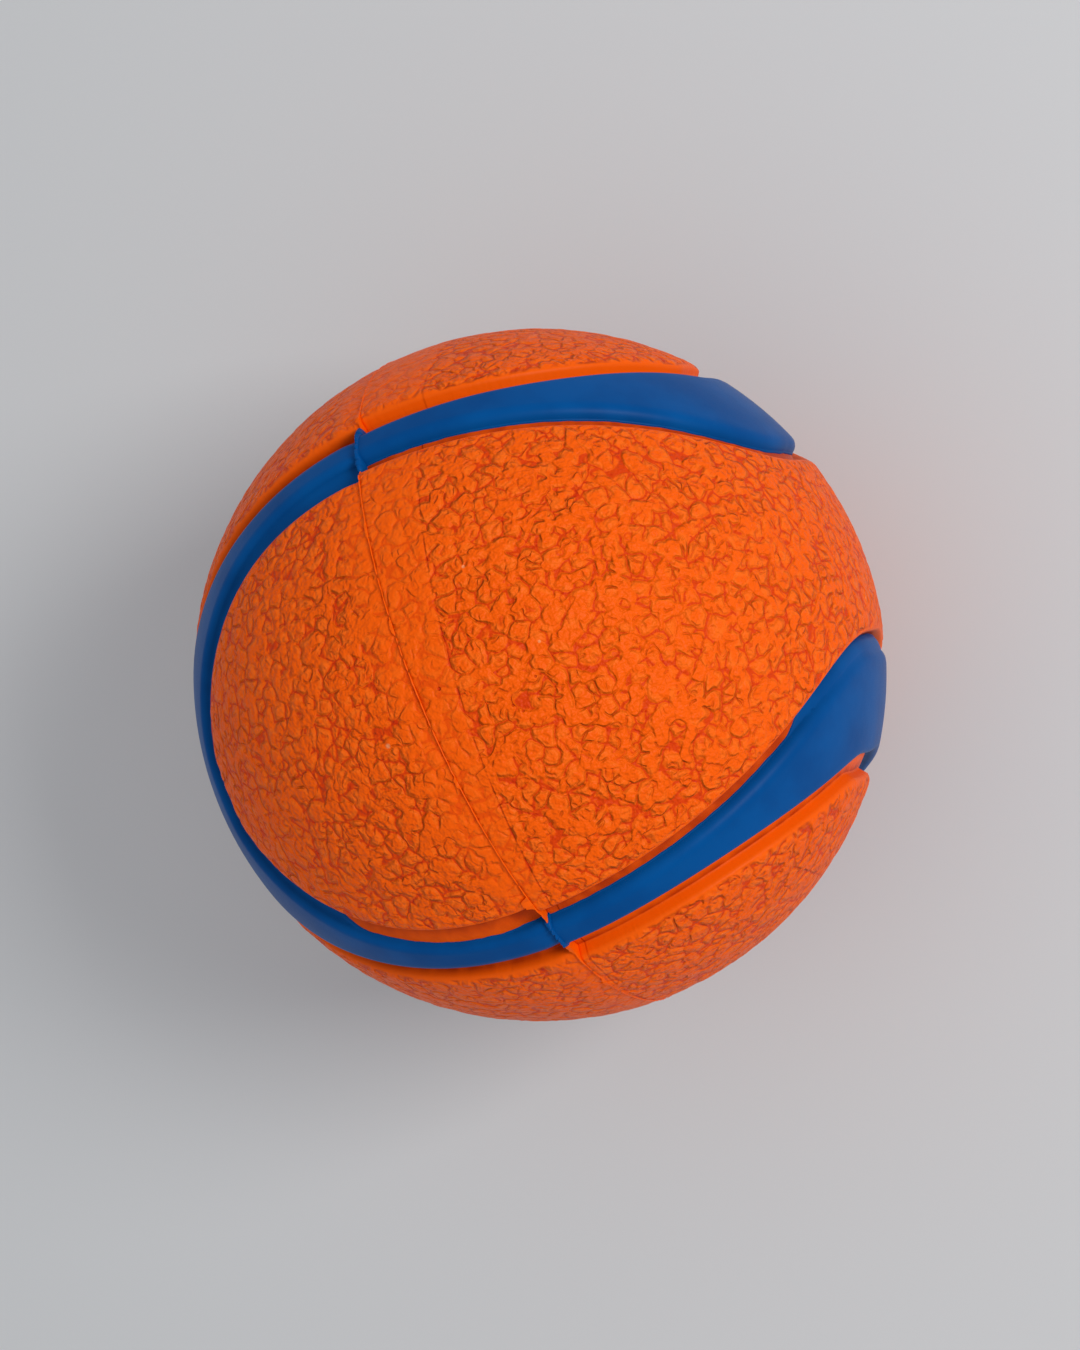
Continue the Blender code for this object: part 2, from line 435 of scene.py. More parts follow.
# %% Section sizes and outlines
BAND_WIDTH_AT_PARTING = 3.4 * MM
BAND_WIDTH_AT_ARCH = 9.8 * MM
BAND_THICKNESS = 3.5 * MM
BAND_SHOULDER = {NECK: 1.2 * MM, LOBE: 0.8 * MM}
BAND_DRAFT = 0.15 * MM
GUTTER = {NECK: 1.2 * MM, LOBE: 2.0 * MM}
GUTTER_DEPTH_AT_BAND = 1.1 * MM
GUTTER_DEPTH_AT_WALL = 1.4 * MM
WALL_RUN = 0.25 * MM
LIP_DEPTH = 0.35 * MM
LIP_RUN = 0.8 * MM
LIP_STEPS = 6
LIP_ROUNDNESS = 2.2       # a power: the lip is flat at first and steepens towards the wall
SHOULDER_STEPS = 6
TOP_POINTS = (0.85, 0.6, 0.3)
FOOT_BELOW_FLOOR = 0.5 * MM
CREEP_THICKNESS = 0.12 * MM
CREEP_UNDER_WALL = 0.1 * MM
FOOT_FILLET = (0.12 * MM, 0.06 * MM)
SWOLLEN_AT_WALL = 0.25    # a swollen floor rises less at the wall than at the band


def half_width(widened):
    narrow = BAND_WIDTH_AT_PARTING / 2
    return narrow + (BAND_WIDTH_AT_ARCH / 2 - narrow) * widened


def floor_depths(band, side, run):
    """Depth of the gutter's floor at the band and at the wall."""
    swollen = stretch_here(SWOLLEN_FLOOR, band, side, run) * MM
    return GUTTER_DEPTH_AT_BAND - swollen, GUTTER_DEPTH_AT_WALL - swollen * SWOLLEN_AT_WALL


def band_side(band, side, station):
    """One side of the band, from the foot of its wall to the middle of its top."""
    seat = half_width(station.widened)
    shoulder = BAND_SHOULDER[side]
    wider = stretch_here(WIDER_BLUE, band, side, station.run) * MM
    edge = seat + wider
    at_band, at_wall = floor_depths(band, side, station.run)
    seed = side * 3 + ord(band[0]) + int(band[1])
    uneven = RAGGED * ragged(station.run, seed)
    crept = stretch_here(CREPT_BLUE, band, side, station.run) * MM + uneven
    crept = min(crept, GUTTER[side] + CREEP_UNDER_WALL - wider)
    floor = at_band + (at_wall - at_band) * (crept + wider) / GUTTER[side]
    thick = CREEP_THICKNESS + stretch_here(HEAPED_BLUE, band, side, station.run) * MM
    outline = [
        (seat + BAND_DRAFT, BAND_THICKNESS),
        (seat + BAND_DRAFT, at_band + FOOT_BELOW_FLOOR),
        (edge + crept, floor + 0.05 * MM),
        (edge + crept * 0.85, floor - thick * 0.7),
        (edge + crept * 0.4, (floor + at_band) / 2 - thick),
    ]
    for i in range(SHOULDER_STEPS + 1):
        t = math.pi / 2 * i / SHOULDER_STEPS
        depth = min(shoulder * (1 - math.sin(t)), at_band - thick)
        outline.append((edge - shoulder * (1 - math.cos(t)), depth))
    flat = edge - shoulder
    return outline + [(flat * share, 0.0) for share in TOP_POINTS]


def channel_side(band, side, station):
    """One side of the channel, from the panel's surface down to the seat beside the band."""
    edge = half_width(station.widened)
    at_band, at_wall = floor_depths(band, side, station.run)
    foot = edge + GUTTER[side]
    lip = foot + WALL_RUN
    drop = at_wall - LIP_DEPTH
    outline = []
    for i in range(LIP_STEPS + 1):
        share = i / LIP_STEPS
        outline.append((lip + LIP_RUN * (1 - share), LIP_DEPTH * share ** LIP_ROUNDNESS))
    outline.append((lip - WALL_RUN * 0.22, LIP_DEPTH + drop * 0.22))
    outline.append((foot + WALL_RUN * 0.25, LIP_DEPTH + drop * 0.72))
    outline.append((foot, at_wall - FOOT_FILLET[1]))
    outline.append((foot - FOOT_FILLET[0], at_wall))
    outline.append((edge + 0.45 * GUTTER[side], (at_wall + at_band) / 2))
    outline.append((edge - 0.1 * MM, at_band))
    return outline


def laid_on_ball(station, across, depth):
    """A section's point (distance towards the pole's side, depth) as a place on the ball."""
    angle = across / ball_radius
    direction = station.outward * math.cos(angle) + station.poleward * math.sin(angle)
    return direction * (ball_radius - depth)


# %% [markdown]
# ## The orange half shell
#
# A rail is a chain of edges along the curve, one for each point of the channel's section.
# Bridging neighbouring rails makes the channel, bridging the two channels' upper rails across
# the pole makes the middle panel, and bridging the lobe's rail to the parting line makes a
# lobe. The long rungs are then subdivided and every new vertex is pushed out to the sphere.

# %% Rails and panels
MIDDLE_CUTS = 104
LOBE_CUTS = 70
LOBE_FOOT_SHARE = 0.82    # part of a lobe's width on the parting line that the last rail takes
WALL = 5.5 * MM
INNER_STEPS = 64
INNER_RINGS = 8
MERGE_WITHIN = 0.002 * MM
ON_PARTING_PLANE = 0.001 * MM
# depth in a gutter from which it is painted darker, with dirt and painted shade
DIRT_AND_SHADE_FROM = {NECK: LIP_DEPTH, LOBE: 1.32 * MM}


def rail(bm, places):
    verts = [bm.verts.new(place) for place in places]
    return [bm.edges.new(pair) for pair in zip(verts, verts[1:])]


def bridge(bm, first, second):
    """Faces between two rails, and the rungs that join them."""
    faces = bmesh.ops.bridge_loops(bm, edges=first + second)["faces"]
    rails = set(first) | set(second)
    return list({edge for face in faces for edge in face.edges if edge not in rails})


def to_sphere(bm, rungs, cuts):
    """Subdivides the rungs and puts the new vertices on the ball."""
    made = bmesh.ops.subdivide_edges(bm, edges=rungs, cuts=cuts)["geom_inner"]
    for vert in (item for item in made if isinstance(item, bmesh.types.BMVert)):
        vert.co = vert.co.normalized() * ball_radius


def half_turned(place):
    """The same place on the second channel, half a turn round the pole."""
    return Vector((place.x, -place.y, -place.z))


def channel_rails(bm, band):
    """Rails of one channel from the pole's side to the lobe's side."""
    neck = [channel_side(band, NECK, station) for station in stations]
    lobe = [channel_side(band, LOBE, station) for station in stations]
    rows = [[(NECK, outline[k]) for outline in neck] for k in range(len(neck[0]))]
    rows += [[(LOBE, outline[k]) for outline in lobe] for k in reversed(range(len(lobe[0])))]
    rails = []
    for row in rows:
        places = [laid_on_ball(s, side * at[0], at[1]) for s, (side, at) in zip(stations, row)]
        if band.endswith("2"):
            places = [half_turned(place) for place in places]
        rails.append(rail(bm, places))
    return rails


def lobe_foot(bm, flush_rail):
    """A rail on the parting line under a lobe."""
    first = flush_rail[0].verts[0].co.normalized()
    last = flush_rail[-1].verts[1].co.normalized()
    middle = (first + last).normalized()
    reach = middle.angle(first) * LOBE_FOOT_SHARE
    across = (last - first).normalized()
    places = []
    for i in range(STATIONS + 1):
        angle = reach * (2 * i / STATIONS - 1)
        places.append((middle * math.cos(angle) + across * math.sin(angle)) * ball_radius)
    return rail(bm, places)


def close_inside(bm):
    """Carries the open edge in over the bond face and closes the bowl's inside."""
    rim = [edge for edge in bm.edges if edge.is_boundary]
    inner = bmesh.new()
    bmesh.ops.create_uvsphere(inner, u_segments=INNER_STEPS, v_segments=2 * INNER_RINGS,
                              radius=ball_radius - WALL)
    bmesh.ops.rotate(inner, verts=inner.verts, matrix=Matrix.Rotation(math.pi / 2, 3, "Y"))
    everything = inner.verts[:] + inner.edges[:] + inner.faces[:]
    bmesh.ops.bisect_plane(inner, geom=everything, dist=ON_PARTING_PLANE,
                           plane_co=(0, 0, 0), plane_no=(1, 0, 0), clear_inner=True)
    bowl = bpy.data.meshes.new("bowl")
    inner.to_mesh(bowl)
    inner.free()
    bm.from_mesh(bowl)
    bpy.data.meshes.remove(bowl)
    known = set(rim)
    edge_of_bowl = [edge for edge in bm.edges if edge.is_boundary and edge not in known]
    bmesh.ops.bridge_loops(bm, edges=rim + edge_of_bowl)


def dirt_and_shade_from(band, side, run):
    """Depth in the gutter from which there is dirt and painted shade."""
    share = stretch_here(SHADED_WALL, band, side, run)
    return DIRT_AND_SHADE_FROM[side] + (LIP_DEPTH - DIRT_AND_SHADE_FROM[side]) * share


def half_shell_bmesh(letter):
    """A half shell with its pole at +X, and a list of (place on a panel's edge, depth of dirt and
    painted shade).
    """
    bm = bmesh.new()
    necks = []
    panel_edges = []
    for number in "12":
        rails = channel_rails(bm, letter + number)
        for first, second in zip(rails, rails[1:]):
            bridge(bm, first, second)
        foot = lobe_foot(bm, rails[-1])
        to_sphere(bm, bridge(bm, rails[-1], foot), LOBE_CUTS)
        necks.append(rails[0])
        for side, chain in ((NECK, rails[0]), (LOBE, rails[-1])):
            for station, edge in zip(stations, chain):
                dirt_and_shade_below = dirt_and_shade_from(letter + number, side, station.run)
                panel_edges.append((edge.verts[0].co.copy(), dirt_and_shade_below))
    to_sphere(bm, bridge(bm, *necks), MIDDLE_CUTS)
    bmesh.ops.remove_doubles(bm, verts=bm.verts, dist=MERGE_WITHIN)
    for vert in bm.verts:
        if abs(vert.co.x) < ON_PARTING_PLANE:
            vert.co.x = 0
    close_inside(bm)
    bmesh.ops.recalc_face_normals(bm, faces=bm.faces)
    return bm, panel_edges


# %% [markdown]
# The pebbled relief fades out on the lips beside the channels. Each vertex stores how much
# relief it has as an attribute. Another attribute holds how much dirt and painted shade the
# gutter has there. On the neck's side of a band the whole wall is darkened, and on the lobe's side
# mostly the crease at its foot, so the nearest panel edge is looked up for each vertex. Half b is
# also pressed in a little along the parting line, so there is a small step there.

# %% Build a half shell with its relief
PRESSED_IN = 0.16 * MM
PRESSED_REACH = 1.9 * MM
RELIEF_ENDS = LIP_DEPTH * 0.7


def pressed_in(place):
    """Where a point of half b's outside goes: inwards close to the parting line."""
    if place.x > ON_PARTING_PLANE or place.length < ball_radius - WALL / 2:
        return place
    share = 1 - smooth_share(-place.x, 0, PRESSED_REACH)
    return place * (1 - PRESSED_IN * share / place.length)


def mark_surface(mesh, panel_edges):
    """Stores the shares of relief and of dirt and painted shade with every vertex."""
    tree = KDTree(len(panel_edges))
    for i, (place, _) in enumerate(panel_edges):
        tree.insert(place, i)
    tree.balance()
    pebbled = mesh.attributes.new("pebbled", "FLOAT", "POINT")
    dirt_and_shade = mesh.attributes.new("dirt_and_shade", "FLOAT", "POINT")
    for vert, relief_here, dirt_and_shade_here in zip(mesh.vertices, pebbled.data, dirt_and_shade.data):
        sunk = ball_radius - vert.co.length
        nearest = tree.find(vert.co)[1]
        dirt_and_shade_below = panel_edges[nearest][1]
        # dirt and painted shade: darker from this depth down to the foot of the wall
        dirt_and_shade_here.value = smooth_share(sunk, dirt_and_shade_below, GUTTER_DEPTH_AT_WALL)
        relief_here.value = 1 - smooth_share(sunk, 0, RELIEF_ENDS)


def relief_nodes():
    """Geometry Nodes that press the broad part of the relief into a mesh."""
    tree = bpy.data.node_groups.new("relief", "GeometryNodeTree")
    tree.interface.new_socket("Geometry", in_out="INPUT", socket_type="NodeSocketGeometry")
    tree.interface.new_socket("Geometry", in_out="OUTPUT", socket_type="NodeSocketGeometry")
    entry = tree.nodes.new("NodeGroupInput")
    place = Value(tree, tree.nodes.new("GeometryNodeInputPosition").outputs[0])
    point = sphere_point(place)
    kind = "GeometryNodeInputNamedAttribute"
    pebbled = place.node(kind, {"data_type": "FLOAT"}, {"Name": "pebbled"})
    valley = pebbles(point)[2]
    swell = (point.noise(SWELL_PERIOD, seed=71, detail=1.0) - 0.5) * SWELL
    height = (valley * calm(point) * -VALLEY_DEPTH + swell) * pebbled
    shift = point.vector("SCALE", height * (MM / (ball_radius / MM)))
    entry_geometry = Value(tree, entry.outputs[0])
    moved = place.node("GeometryNodeSetPosition", {}, {"Geometry": entry_geometry, "Offset": shift})
    leave = tree.nodes.new("NodeGroupOutput")
    tree.links.new(moved.socket, leave.inputs[0])
    return tree


def finished(name, mesh, node):
    """Links a mesh as a piece that rides on the ball and stands for a CAD node."""
    piece = bpy.data.objects.new(name, mesh)
    bpy.context.scene.collection.objects.link(piece)
    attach(piece, "root")
    if node:
        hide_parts(node)
    return piece


def with_modifiers_applied(piece):
    bpy.context.view_layer.update()
    graph = bpy.context.evaluated_depsgraph_get()
    mesh = bpy.data.meshes.new_from_object(piece.evaluated_get(graph))
    piece.modifiers.clear()
    piece.data = mesh


relief = relief_nodes()
shells = []
half_turn = Matrix.Rotation(math.pi, 4, Vector((0, 1, 1)))
for letter, place in (("a", Matrix.Identity(4)), ("b", half_turn)):
    bm, panel_edges = half_shell_bmesh(letter)
    bm.transform(place)
    mesh = bpy.data.meshes.new(f"orange_half_{letter}")
    bm.to_mesh(mesh)
    bm.free()
    mark_surface(mesh, [(place @ point, depth) for point, depth in panel_edges])
    if letter == "b":
        for vert in mesh.vertices:
            vert.co = pressed_in(vert.co)
    shell = finished(f"orange_half_{letter}", mesh, f"half_shell_{letter}")
    shell.modifiers.new("relief", "NODES").node_group = relief
    with_modifiers_applied(shell)
    shell.data.shade_smooth()
    shells.append(shell)
    print(shell.name, sum(len(p.vertices) - 2 for p in shell.data.polygons), "triangles")

# %% [markdown]
# ## The blue bands
#
# A band is a loft too: one closed ring of section points at every station, bridged to the
# next. Both ends lie exactly in the parting plane, so two bands meet end to end.

# %% Loft the bands
BAND_EDGE_ANGLE = math.radians(60)    # sharper edges than this are drawn sharp


def band_mesh(band, place):
    """The mesh of a band, moved to its place on the ball."""
    bm = bmesh.new()
    rings = []
    for station in stations:
        neck = band_side(band, NECK, station)
        lobe = band_side(band, LOBE, station)
        points = [(-across, depth) for across, depth in lobe] + [(0.0, 0.0)] + neck[::-1]
        ring = [bm.verts.new(laid_on_ball(station, *point)) for point in points]
        rings.append([bm.edges.new(pair) for pair in zip(ring, ring[1:] + ring[:1])])
    for before, after in zip(rings, rings[1:]):
        bmesh.ops.bridge_loops(bm, edges=before + after)
    for ring in (rings[0], rings[-1]):
        bmesh.ops.edgeloop_fill(bm, edges=ring)
    bmesh.ops.recalc_face_normals(bm, faces=bm.faces)
    bm.transform(place)
    if band.startswith("b"):
        for vert in bm.verts:
            vert.co = pressed_in(vert.co)
    mesh = bpy.data.meshes.new(band)
    bm.to_mesh(mesh)
    bm.free()
    mesh.shade_smooth()
    mesh.set_sharp_from_angle(angle=BAND_EDGE_ANGLE)
    return mesh


blue_pieces = []
other_side = Matrix.Rotation(math.pi, 4, "X")
for letter, place in (("a", Matrix.Identity(4)), ("b", half_turn)):
    for number, turned in (("1", Matrix.Identity(4)), ("2", other_side)):
        band = letter + number
        mesh = band_mesh(band, place @ turned)
        blue_pieces.append(finished(f"blue_band_{band}", mesh, f"band_{band}"))
print(len(blue_pieces), "bands")

# %% [markdown]
# ## Flash on the parting line
#
# Where the two halves are pressed together a little rubber squeezes out. It stands as a thin
# ragged fin along the whole line, torn off in places and folded over in others. A small outline
# is spun round the pole's axis and each of its corners is then moved by a formula of its place
# on the line. Where the line crosses a band, the fin is a ridge of blue rubber. At two of the
# four crossings that blue also fills the gutters, and at the other two the orange does. How high
# the rubber stands there is given by short lists of (distance from the crossing, height).

# %% Fins of flash
FIN_STEPS = 1500
RIDGE_STEPS = 84
CORNERS = 7
FIN_EDGE_ANGLE = math.radians(70)
BLUE_FILLS = (45, -135)                # crossings, as longitudes in degrees
ORANGE_FILLS = (-45, 135)

# Heights over the ball and distances along the line are in millimetres.
BURIED = -2.0             # the root of every fin, out of sight
RIDGE_REACH = {"filled": 3.1, "plain": 1.95}
TORN_FIN = 0.15
TORN_BESIDE_CROSSING = 0.22
TORN_RIDGE = 0.30
FIN_AT_BLUE_FILL = [(1.6, -1.0), (2.7, -1.0), (3.0, -0.45), (3.9, 0.0)]
FIN_AT_ORANGE_FILL = [(1.5, -0.9), (1.75, -0.3), (2.9, -0.35), (3.9, 0.0)]
MORE_TORN_AT_BLUE_FILL = [(2.6, 0.0), (2.9, 1.0), (4.0, 1.0), (5.2, 0.0)]
MORE_TORN_AT_ORANGE_FILL = [(1.6, 0.0), (1.9, 1.0), (3.4, 1.0), (4.6, 0.0)]
RIDGE_AT_BLUE_FILL = [(1.35, 0.0), (1.75, -0.22), (2.75, -0.35), (3.1, -0.8)]
RIDGE_AT_ORANGE_FILL = [(1.3, 0.0), (1.75, -0.45), (1.9, -1.0)]
RIDGE_HALF_WIDTH = [(0.0, 0.11), (1.2, 0.12), (1.8, 0.26), (2.6, 0.20), (3.1, 0.1)]

# Folded flakes: middle in degrees, half length along the line, and how far they reach.
FLAKES = [
    (52.4, 0.8, 0.42),
    (-36.6, 0.65, 0.95),
    (-48.9, 0.95, 0.30),
    (41.0, 0.5, 0.30),
    (11.0, 0.7, 0.22),
    (-14.0, 0.5, 0.25),
    (27.5, 0.9, 0.18),
    (-61.0, 0.8, 0.35),
    (70.0, 0.6, 0.3),
]
FLAKE_RAGGED = 0.4

# How quickly the tears change along the line, for each degree.
COARSE_TEARS = 0.45
FINE_TEARS = 2.1
NICKS = 0.9
NICK_DEPTH = 0.7


def between(value, stops):
    """Straight-line interpolation in a list of (place, height)."""
    for (low, low_height), (high, high_height) in zip(stops, stops[1:]):
        if value <= high:
            share = max(value - low, 0) / (high - low)
            return low_height + (high_height - low_height) * share
    return stops[-1][1]


def along_line(degrees, middle):
    """Distance along the parting line from a longitude, in millimetres, with its sign."""
    return math.radians((degrees - middle + 180) % 360 - 180) * ball_radius / MM


def from_crossing(degrees, crossings):
    """Distance from the nearest of the crossings, in millimetres."""
    return min(abs(along_line(degrees, crossing)) for crossing in crossings)


def flake_reach(degrees):
    """How far the fin is folded over the pressed-in half here."""
    reach = 0.0
    for middle, half_length, most in FLAKES:
        share = along_line(degrees, middle) / half_length
        if abs(share) < 1:
            uneven = 0.8 + FLAKE_RAGGED * ready_noise.noise((degrees * 4, 3, 0))
            reach += most * (1 - share ** 4) * uneven
    return reach


def torn(degrees, seed):
    """Ragged height of a fin, from about 0 to 1, with nicks."""
    coarse = 0.5 + 0.5 * ready_noise.noise((degrees * COARSE_TEARS, seed, 0.3))
    fine = 0.5 + 0.5 * ready_noise.noise((degrees * FINE_TEARS, seed, 4.7))
    nick = smooth_share(ready_noise.noise((degrees * NICKS, seed, 9.1)), 0.25, 0.42)
    return max(0.55 * coarse + 0.45 * fine - NICK_DEPTH * nick, 0.0)


def orange_fin(degrees):
    """Corners (along X, height over the ball) of the orange fin, in millimetres."""
    blue_off = from_crossing(degrees, BLUE_FILLS)
    orange_off = from_crossing(degrees, ORANGE_FILLS)
    fill = between(blue_off, FIN_AT_BLUE_FILL)
    if orange_off < blue_off:
        fill = between(orange_off, FIN_AT_ORANGE_FILL)
    beside = between(blue_off, MORE_TORN_AT_BLUE_FILL)
    beside += between(orange_off, MORE_TORN_AT_ORANGE_FILL)
    height = fill - 0.03 + (TORN_FIN + TORN_BESIDE_CROSSING * beside) * torn(degrees, seed=1)
    reach = flake_reach(degrees)
    lean = 0.05 * ready_noise.noise((degrees * 0.8, 5, 5))
    thin = 0.05 if reach > 0.1 else 0.0
    return [
        (-0.16, BURIED),
        (-0.08 + lean, fill - 0.30),
        (-0.06 - reach + lean, height - 0.05 - thin),
        (-0.04 - reach + lean, height),
        (0.02 + lean, height - 0.01),
        (0.05, fill - 0.06),
        (0.12, BURIED),
    ]


def blue_ridge(degrees):
    """Corners of a blue ridge at a crossing, in millimetres."""
    blue_off = from_crossing(degrees, BLUE_FILLS)
    orange_off = from_crossing(degrees, ORANGE_FILLS)
    fill = between(orange_off, RIDGE_AT_ORANGE_FILL)
    if blue_off < orange_off:
        fill = between(blue_off, RIDGE_AT_BLUE_FILL)
    height = fill + 0.12 + TORN_RIDGE * torn(degrees * 2, seed=8)
    lean = -0.06 + 0.12 * ready_noise.noise((degrees * 1.3, 2, 5))
    wide = between(min(blue_off, orange_off), RIDGE_HALF_WIDTH)
    return [
        (-0.30, BURIED),
        (-wide - 0.04, fill - 0.25),
        (-wide + lean, height - 0.10),
        (-wide * 0.6 + lean, height),
        (wide * 0.5 + lean, height - 0.03),
        (wide, fill - 0.04),
        (0.26, BURIED),
    ]


def spun_fin(bm, corners_at, start, angle, steps):
    """Spins an outline round the X axis, then shapes it by a formula of the longitude."""
    corner = bm.verts.layers.int.get("corner") or bm.verts.layers.int.new("corner")
    first = []
    for k in range(CORNERS):
        vert = bm.verts.new((0, ball_radius * math.sin(start), ball_radius * math.cos(start)))
        vert[corner] = k
        first.append(vert)
    outline = [bm.edges.new(pair) for pair in zip(first, first[1:] + first[:1])]
    whole = math.isclose(angle, 2 * math.pi)
    spun = bmesh.ops.spin(bm, geom=first + outline, cent=(0, 0, 0), axis=(-1, 0, 0), angle=angle,
                          steps=steps, use_merge=whole)
    if not whole:
        last = [item for item in spun["geom_last"] if isinstance(item, bmesh.types.BMEdge)]
        bmesh.ops.edgeloop_fill(bm, edges=outline)
        bmesh.ops.edgeloop_fill(bm, edges=last)
    for vert in bm.verts:
        longitude = math.atan2(vert.co.y, vert.co.z)
        shaped = corners_at(math.degrees(longitude))[vert[corner]]
        place = on_unit_sphere(longitude, 0) * (ball_radius + shaped[1] * MM)
        vert.co = (shaped[0] * MM, place.y, place.z)


def fin_piece(name, bm):
    """A finished piece that stands for no CAD node."""
    bmesh.ops.recalc_face_normals(bm, faces=bm.faces)
    mesh = bpy.data.meshes.new(name)
    bm.to_mesh(mesh)
    bm.free()
    mesh.shade_smooth()
    mesh.set_sharp_from_angle(angle=FIN_EDGE_ANGLE)
    return finished(name, mesh, None)


bm = bmesh.new()
spun_fin(bm, orange_fin, 0, 2 * math.pi, FIN_STEPS)
fin = fin_piece("orange_flash", bm)
shells.append(fin)
for crossing in BLUE_FILLS + ORANGE_FILLS:
    bm = bmesh.new()
    reach = RIDGE_REACH["filled" if crossing in BLUE_FILLS else "plain"] * MM / ball_radius
    spun_fin(bm, blue_ridge, math.radians(crossing) - reach, 2 * reach, RIDGE_STEPS)
    where = f"{'minus_' if crossing < 0 else ''}{abs(crossing)}"
    blue_pieces.append(fin_piece(f"blue_flash_{where}", bm))
print("flash fin", len(fin.data.polygons), "faces, and", len(BLUE_FILLS + ORANGE_FILLS), "ridges")

# %% [markdown]
# ## Orange rubber
#
# The rubber is coloured right through, so the colour hardly varies. What makes it look real is
# the relief: each groove is painted darker and redder at its bottom as shade, and paler on its
# rims as a painted highlight. The gutters are painted darker with dirt and painted shade, and the
# Bump node draws the grooves that are too fine for the mesh. A few pinholes and specks are placed
# by their direction from the ball's centre, and the pinholes and the witness line get painted shade
# too.

# %% Orange rubber
ORANGE = (0.96, 0.112, 0.0, 1)
# painted shade: a darker, redder orange at the bottoms of grooves and folds, in pinholes and on the
# witness line
SHADE_ORANGE = (0.66, 0.032, 0.0, 1)
# painted highlight on the rims of the grooves
RIM_HIGHLIGHT_ORANGE = (1.0, 0.18, 0.012, 1)
# dirt and painted shade in the gutters
GUTTER_DIRT_AND_SHADE = (0.42, 0.03, 0.0, 1)
PALE_SPECK = (0.95, 0.42, 0.20, 1)
ORANGE_ROUGHNESS = 0.44
ORANGE_SPECULAR = 0.09

# How large the blobs of each noise are, in millimetres.
PATCH_PERIOD = 6.0
GRAIN_PERIOD = 0.25
LUMP_PERIOD = 0.45
CREASE_PATCHES = 2.4
BROWN_PATCHES = 1.5

# Depths and heights of the bump, in millimetres.
GROOVE_DEPTH = 0.26
FOLD_DEPTH = 0.17
VALLEY_BUMP = 0.05
GRAIN_HEIGHT = 0.008
LUMP_HEIGHT = 0.30
LUMPS_ON_LIPS = 0.15
HOLE_DEPTH = 0.12
CREASE_DEPTH = 0.05
CREASE_HALF_WIDTH = 0.14
STEP_AT_CREASE = 0.06
STEP_HALF_WIDTH = 0.12
SPECK_HEIGHT = 0.02
ROUGHNESS_OF_GRAIN = 0.2

# Shares of one colour over another.
# how much painted shade the grooves, folds, pinholes and witness line get, and how much painted
# highlight the rims get
SHADED_BOTTOM = (0.82, 1)
SHADE_IN_GROOVE = 0.8
SHADE_IN_FOLD = 0.5
SHADE_IN_HOLE = 0.8
SHADE_IN_CREASE = 0.4
RIM_HIGHLIGHT = 0.45
SPECK = 0.6

# Marks: longitude and latitude in degrees, radius in millimetres.
PINHOLES = [
    (-0.2, 3.4, 0.22),
    (-6.8, 12.6, 0.16),
    (-8.2, 13.6, 0.16),
    (-4.2, 17.3, 0.14),
    (7.1, 7.1, 0.18),
    (-83.1, 33.9, 0.35),
    (-60.0, 22.0, 0.18),
    (120.0, 30.0, 0.2),
    (-150.0, 45.0, 0.2),
    (60.0, 75.0, 0.16),
]
SPECKS = [(15.7, 13.0, 0.20), (0.5, 19.8, 0.18), (-4.9, -7.6, 0.28), (-95.0, 20.0, 0.2)]


def new_material(name):
    """A material with its tree, its shader and the place on the object that is shaded."""
    material = bpy.data.materials.new(name)
    material.use_nodes = True
    tree = material.node_tree
    shader = tree.nodes["Principled BSDF"]
    place = Value(tree, tree.nodes.new("ShaderNodeTexCoord").outputs["Object"])
    return material, tree, shader, place


def colour_mix(share, first, second):
    """The first colour where the share is 0, the second where it is 1."""
    settings = {"data_type": "RGBA"}
    return share.node("ShaderNodeMix", settings, {"Factor": share, 6: first, 7: second}, 2)


def spots(point, placed):
    """1 in the middle of each (longitude, latitude, radius), 0 outside."""
    total = None
    for longitude, latitude, radius in placed:
        direction = on_unit_sphere(math.radians(longitude), math.radians(latitude))
        middle = direction * (ball_radius / MM)
        spot = point.vector("DISTANCE", middle, 1).rise(radius * 0.3, radius, 1, 0)
        total = total + spot if total else spot
    return total


def attribute(place, name):
    """A number that each vertex stores."""
    return place.node("ShaderNodeAttribute", {"attribute_name": name}, {}, "Fac")


def witness_line(point):
    """1 on the witness line where it shows, and a step from 0 to 1 across it."""
    past = past_crease(point)[1]
    shows = point.noise(CREASE_PATCHES, seed=29).rise(0.35, 0.6, 0.0, 1)
    line = past.math("ABSOLUTE").rise(0.0, CREASE_HALF_WIDTH, 1, 0)
    return line * shows, past.rise(-STEP_HALF_WIDTH, STEP_HALF_WIDTH)


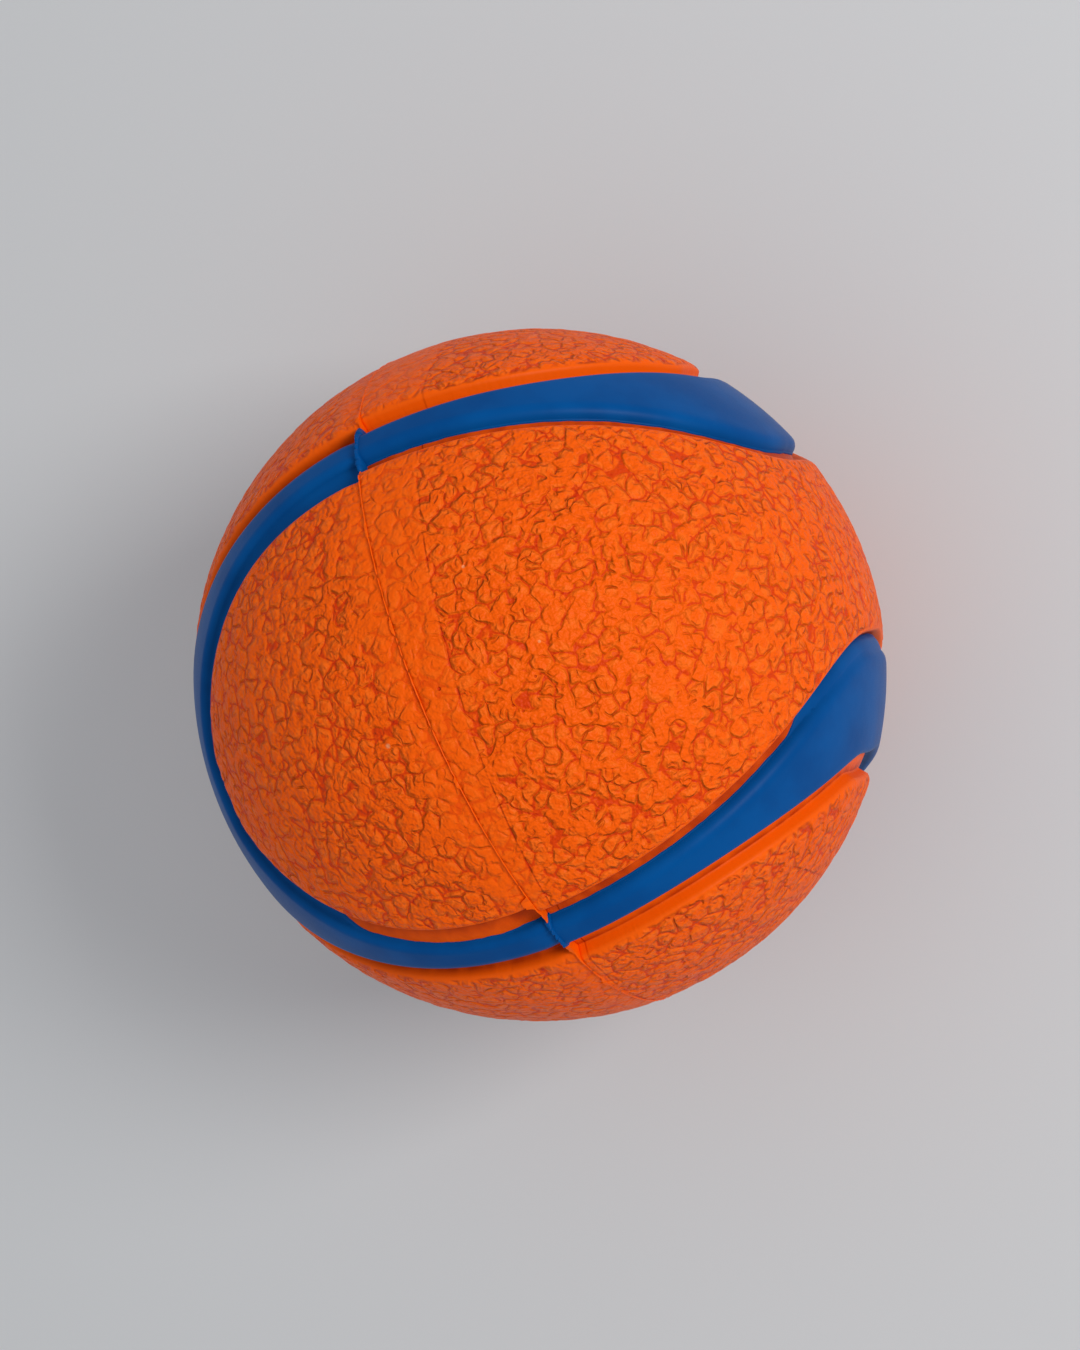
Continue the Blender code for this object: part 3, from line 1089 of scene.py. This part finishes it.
def orange_rubber():
    material, tree, shader, place = new_material("moulded_orange_rubber")
    point = sphere_point(place)
    groove, fold, valley, rim = pebbles(point)
    quiet = calm(point) * attribute(place, "pebbled")
    patchy = point.noise(PATCH_PERIOD, seed=61).rise(*NOISE_RANGE, 0.7, 1.0)
    holes = spots(point, PINHOLES)
    specks = spots(point, SPECKS)
    crease, step = witness_line(point)
    grain = point.noise(GRAIN_PERIOD, seed=5, detail=2.0) - 0.5
    lumps = point.noise(LUMP_PERIOD, seed=83, detail=1.0) - 0.5

    height = (groove * -GROOVE_DEPTH).math("MINIMUM", fold * -FOLD_DEPTH) - valley * VALLEY_BUMP
    height = height * quiet * patchy + grain * GRAIN_HEIGHT
    height = height + lumps * LUMP_HEIGHT * (quiet * (1 - LUMPS_ON_LIPS) + LUMPS_ON_LIPS)
    height = height - holes * HOLE_DEPTH - crease * CREASE_DEPTH
    height = height + step * STEP_AT_CREASE + specks * SPECK_HEIGHT
    bump = place.node("ShaderNodeBump", {}, {"Strength": 1.0, "Distance": MM, "Height": height})
    tree.links.new(bump.socket, shader.inputs["Normal"])

    # painted shade at the bottoms of grooves and folds, in the pinholes and on the witness line
    painted_shade = groove.rise(*SHADED_BOTTOM, 0, SHADE_IN_GROOVE) + fold.rise(*SHADED_BOTTOM, 0, SHADE_IN_FOLD)
    painted_shade = painted_shade * quiet + holes * SHADE_IN_HOLE + crease * SHADE_IN_CREASE
    uneven = point.noise(BROWN_PATCHES, seed=47, detail=1.0).rise(0.2, 0.7, 0.5, 1.0)
    # dirt and painted shade in the gutters, in uneven patches
    darkened_gutter = attribute(place, "dirt_and_shade") * uneven
    # painted highlight on the grooves' rims
    colour = colour_mix(rim * quiet * RIM_HIGHLIGHT, ORANGE, RIM_HIGHLIGHT_ORANGE)
    colour = colour_mix(painted_shade.math("MINIMUM", 1.0), colour, SHADE_ORANGE)
    colour = colour_mix(darkened_gutter, colour, GUTTER_DIRT_AND_SHADE)
    colour = colour_mix(specks * SPECK, colour, PALE_SPECK)
    tree.links.new(colour.socket, shader.inputs["Base Color"])

    rough = grain * ROUGHNESS_OF_GRAIN + ORANGE_ROUGHNESS
    tree.links.new(rough.socket, shader.inputs["Roughness"])
    shader.inputs["Specular IOR Level"].default_value = ORANGE_SPECULAR
    return material


orange = orange_rubber()
for shell in shells:
    shell.data.materials.clear()
    shell.data.materials.append(orange)
print(len(orange.node_tree.nodes), "nodes in the orange rubber")

# %% [markdown]
# ## Blue rubber
#
# The bands are moulded against a smooth part of the tool. They have a satin sheen with a very
# soft waviness, and no grain to speak of.

# %% Blue rubber
BLUE = (0.0, 0.063, 0.25, 1)
PALE_BLUE = (0.0, 0.080, 0.30, 1)
BLUE_ROUGHNESS = 0.38
BLUE_SPECULAR = 0.05
WAVE_PERIOD = 2.4         # millimetres, as the next four
WAVE_HEIGHT = 0.03
DUST_PERIOD = 0.12
DUST_HEIGHT = 0.002
CLOUD_PERIOD = 5.0
ROUGHNESS_OF_DUST = 0.15


def blue_rubber():
    material, tree, shader, place = new_material("moulded_blue_rubber")
    point = sphere_point(place)
    waves = point.noise(WAVE_PERIOD, seed=3, detail=2.0) - 0.5
    dust = point.noise(DUST_PERIOD, seed=13, detail=1.0) - 0.5
    height = waves * WAVE_HEIGHT + dust * DUST_HEIGHT
    bump = place.node("ShaderNodeBump", {}, {"Strength": 1.0, "Distance": MM, "Height": height})
    tree.links.new(bump.socket, shader.inputs["Normal"])
    cloud = point.noise(CLOUD_PERIOD, seed=19, detail=3.0)
    colour = colour_mix(cloud.rise(0.3, 0.7), BLUE, PALE_BLUE)
    tree.links.new(colour.socket, shader.inputs["Base Color"])
    rough = dust * ROUGHNESS_OF_DUST + BLUE_ROUGHNESS
    tree.links.new(rough.socket, shader.inputs["Roughness"])
    shader.inputs["Specular IOR Level"].default_value = BLUE_SPECULAR
    return material


blue = blue_rubber()
for piece in blue_pieces:
    piece.data.materials.clear()
    piece.data.materials.append(blue)
